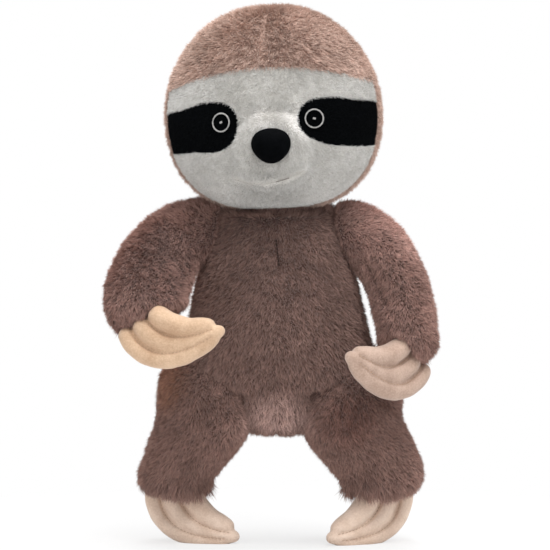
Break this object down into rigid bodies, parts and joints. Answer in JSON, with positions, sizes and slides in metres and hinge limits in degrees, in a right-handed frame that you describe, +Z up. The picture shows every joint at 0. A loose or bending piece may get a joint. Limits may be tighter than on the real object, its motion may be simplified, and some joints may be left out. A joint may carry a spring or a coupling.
{
  "type": "plush sloth",
  "caption": "Upright plush sloth with a round head, pale face, dark eye patches, flopping fur arms and legs, and curved velour claws on hands and feet.",
  "frame": {"origin": "middle of the bounding box at the floor that the feet rest on", "axes": "+Z up, the face looks along -Y, the toy's left is +X"},
  "size_m": [0.2056, 0.1368, 0.3483],
  "materials": {
    "fur": "long mauve-brown pile",
    "hood_fur": "paler mauve-brown pile",
    "face_plush": "short off-white pile",
    "patch_plush": "short black pile",
    "nose_velour": "black velour",
    "claw_velour": "cream velour",
    "eye_thread": "white embroidery",
    "fibre": "polyester fibre stuffing"
  },
  "bodies": {
    "torso": {"torso_cover": "fur", "torso_stuffing": "fibre"},
    "neck": {"neck_stuffing": "fibre"},
    "head": {"head_hood": "hood_fur", "face_panel": "face_plush", "eye_patch_left": "patch_plush", "eye_patch_right": "patch_plush", "eye_ring_left": "eye_thread", "eye_ring_right": "eye_thread", "eye_highlight_left": "eye_thread", "eye_highlight_right": "eye_thread", "nose": "nose_velour", "head_stuffing": "fibre"},
    "arm_left": {"arm_cover_left": "fur", "arm_stuffing_left": "fibre"},
    "hand_left": {"hand_claws_left": "claw_velour"},
    "leg_left": {"leg_cover_left": "fur", "leg_stuffing_left": "fibre"},
    "foot_left": {"foot_claws_left": "claw_velour"},
    "arm_right": {"arm_cover_right": "fur", "arm_stuffing_right": "fibre"},
    "hand_right": {"hand_claws_right": "claw_velour"},
    "leg_right": {"leg_cover_right": "fur", "leg_stuffing_right": "fibre"},
    "foot_right": {"foot_claws_right": "claw_velour"}
  },
  "joints": [
    {"name": "head_turn", "type": "hinge", "parent": "torso", "child": "neck", "pos_m": [0.00133, 0.02068, 0.205], "axis": [0, 0, 1], "range_deg": [-40, 40]},
    {"name": "head_nod", "type": "hinge", "parent": "neck", "child": "head", "pos_m": [0.00133, 0.02068, 0.205], "axis": [1, 0, 0], "range_deg": [-8, 8]},
    {"name": "shoulder_left", "type": "hinge", "parent": "torso", "child": "arm_left", "pos_m": [0.04233, 0.01768, 0.201], "axis": [-0.9781, 0, -0.2079], "range_deg": [-5, 60]},
    {"name": "shoulder_right", "type": "hinge", "parent": "torso", "child": "arm_right", "pos_m": [-0.03967, 0.01768, 0.201], "axis": [-0.9781, 0, 0.2079], "range_deg": [-15, 45]},
    {"name": "wrist_left", "type": "hinge", "parent": "arm_left", "child": "hand_left", "pos_m": [0.08683, -0.01751, 0.12015], "axis": [-0.5417, -0.4545, 0.7071], "range_deg": [-8, 25]},
    {"name": "wrist_right", "type": "hinge", "parent": "arm_right", "child": "hand_right", "pos_m": [-0.08364, -0.04971, 0.14405], "axis": [-0.8065, 0.2621, -0.5299], "range_deg": [-15, 25]},
    {"name": "hip_left", "type": "hinge", "parent": "torso", "child": "leg_left", "pos_m": [0.05033, 0.01568, 0.09], "axis": [-1, 0, 0], "range_deg": [-15, 45]},
    {"name": "hip_right", "type": "hinge", "parent": "torso", "child": "leg_right", "pos_m": [-0.04767, 0.01568, 0.09], "axis": [-1, 0, 0], "range_deg": [-15, 45]},
    {"name": "ankle_left", "type": "hinge", "parent": "leg_left", "child": "foot_left", "pos_m": [0.07433, 0.02118, 0.03199], "axis": [-0.866, -0.5, 0], "range_deg": [-20, 20]},
    {"name": "ankle_right", "type": "hinge", "parent": "leg_right", "child": "foot_right", "pos_m": [-0.06817, 0.02118, 0.03199], "axis": [-0.9613, 0.2756, 0], "range_deg": [-20, 20]}
  ]
}
